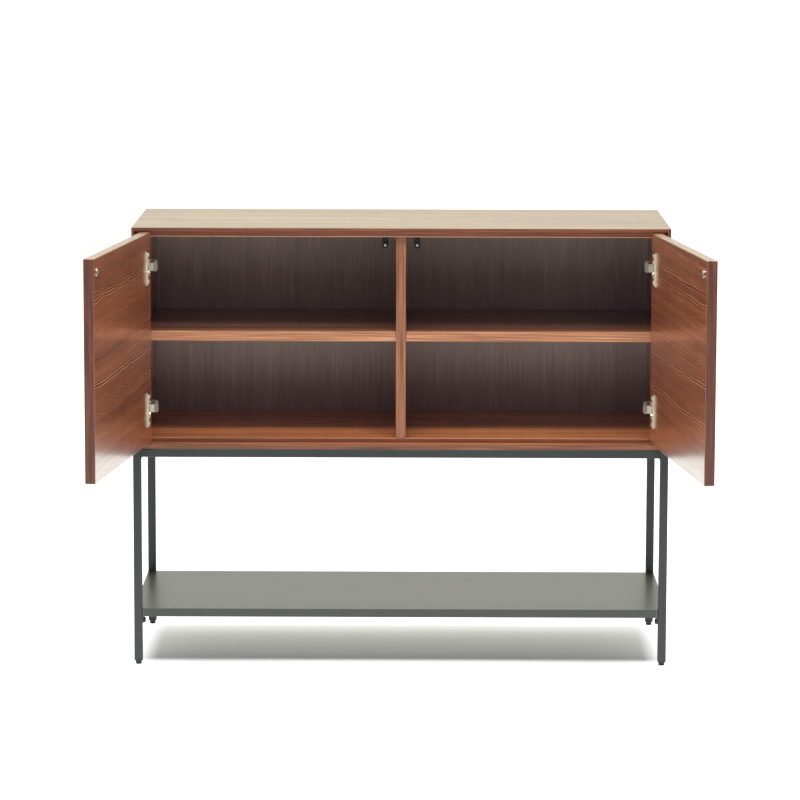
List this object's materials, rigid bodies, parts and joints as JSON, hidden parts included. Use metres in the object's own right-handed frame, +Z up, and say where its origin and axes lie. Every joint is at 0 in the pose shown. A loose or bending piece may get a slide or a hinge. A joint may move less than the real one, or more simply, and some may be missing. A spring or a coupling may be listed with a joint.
{
  "type": "sideboard",
  "caption": "Walnut sideboard with two inset hinged doors, a shelf on each side of a centre divider, and a dark square-tube steel frame with a lower tray",
  "frame": {"origin": "middle of the whole footprint with both doors open, on the floor", "axes": "+X to the right as seen from the front, +Y from the front to the back, +Z up"},
  "size_m": [1.061, 0.8462, 0.8],
  "materials": {
    "walnut_veneer": "walnut veneer, clear semi-gloss lacquer",
    "back_veneer": "thin board, dark brown stained veneer",
    "beech": "plain beech",
    "steel_paint": "fine powder coat, dark grey green, satin",
    "nickel_plate": "nickel-plated pressed steel",
    "nickel_screws": "zinc-plated steel",
    "black_screws": "black coated steel",
    "black_plastic": "matt black plastic",
    "plunger_plastic": "smooth black plastic",
    "magnet_metal": "plated magnet"
  },
  "bodies": {
    "cabinet": {"top_panel": "walnut_veneer", "bottom_panel": "walnut_veneer", "left_side_panel": "walnut_veneer", "right_side_panel": "walnut_veneer", "centre_divider": "walnut_veneer", "back_panel": "back_veneer", "left_shelf": "walnut_veneer", "right_shelf": "walnut_veneer", "divider_dowels": "beech", "shelf_pegs": "nickel_screws", "back_panel_screws": "nickel_screws", "front_left_leg": "steel_paint", "front_right_leg": "steel_paint", "rear_left_leg": "steel_paint", "rear_right_leg": "steel_paint", "front_top_rail": "steel_paint", "rear_top_rail": "steel_paint", "left_top_rail": "steel_paint", "right_top_rail": "steel_paint", "frame_welds": "steel_paint", "front_left_foot": "black_plastic", "front_right_foot": "black_plastic", "rear_left_foot": "black_plastic", "rear_right_foot": "black_plastic", "lower_tray": "steel_paint", "tray_lugs": "steel_paint", "tray_screws": "black_screws", "cabinet_tabs": "steel_paint", "cabinet_tab_screws": "nickel_screws", "hinge_mounting_plates": "nickel_plate", "hinge_plate_screws": "nickel_screws", "hinge_arm_screws": "nickel_screws", "hinge_pins": "nickel_plate", "left_lower_hinge_arm": "nickel_plate", "left_upper_hinge_arm": "nickel_plate", "right_lower_hinge_arm": "nickel_plate", "right_upper_hinge_arm": "nickel_plate", "left_latch_housing": "black_plastic", "right_latch_housing": "black_plastic", "latch_screws": "nickel_screws"},
    "left_door": {"left_door": "walnut_veneer", "left_lower_hinge_cup": "nickel_plate", "left_upper_hinge_cup": "nickel_plate", "left_cup_screws": "nickel_screws", "left_strike_plate": "nickel_plate", "left_strike_screw": "nickel_screws"},
    "right_door": {"right_door": "walnut_veneer", "right_lower_hinge_cup": "nickel_plate", "right_upper_hinge_cup": "nickel_plate", "right_cup_screws": "nickel_screws", "right_strike_plate": "nickel_plate", "right_strike_screw": "nickel_screws"},
    "left_hinge_links": {"left_lower_hinge_link": "nickel_plate", "left_upper_hinge_link": "nickel_plate"},
    "right_hinge_links": {"right_lower_hinge_link": "nickel_plate", "right_upper_hinge_link": "nickel_plate"},
    "left_plunger": {"left_latch_plunger": "plunger_plastic", "left_latch_magnet": "magnet_metal"},
    "right_plunger": {"right_latch_plunger": "plunger_plastic", "right_latch_magnet": "magnet_metal"}
  },
  "joints": [
    {"name": "left_door_hinge", "type": "hinge", "parent": "cabinet", "child": "left_door", "pos_m": [-0.4695, 0.04311, 0.60125], "axis": [0, 0, -1], "range_deg": [-97.5, 0]},
    {"name": "right_door_hinge", "type": "hinge", "parent": "cabinet", "child": "right_door", "pos_m": [0.4695, 0.04311, 0.60125], "axis": [0, 0, 1], "range_deg": [-97.5, 0]},
    {"name": "left_link_hinge", "type": "hinge", "parent": "cabinet", "child": "left_hinge_links", "pos_m": [-0.4433, 0.05561, 0.60125], "axis": [0, 0, 1], "range_deg": [-65, 0]},
    {"name": "right_link_hinge", "type": "hinge", "parent": "cabinet", "child": "right_hinge_links", "pos_m": [0.4433, 0.05561, 0.60125], "axis": [0, 0, -1], "range_deg": [-65, 0]},
    {"name": "left_latch_push", "type": "slide", "parent": "cabinet", "child": "left_plunger", "axis": [0, 1, 0], "range_m": [0, 0.002], "stiffness_N_per_m": 250},
    {"name": "right_latch_push", "type": "slide", "parent": "cabinet", "child": "right_plunger", "axis": [0, 1, 0], "range_m": [0, 0.002], "stiffness_N_per_m": 250}
  ],
  "couplings": [
    {"joint": "left_link_hinge", "follows": "left_door_hinge", "ratio": 0.664},
    {"joint": "right_link_hinge", "follows": "right_door_hinge", "ratio": 0.664}
  ]
}
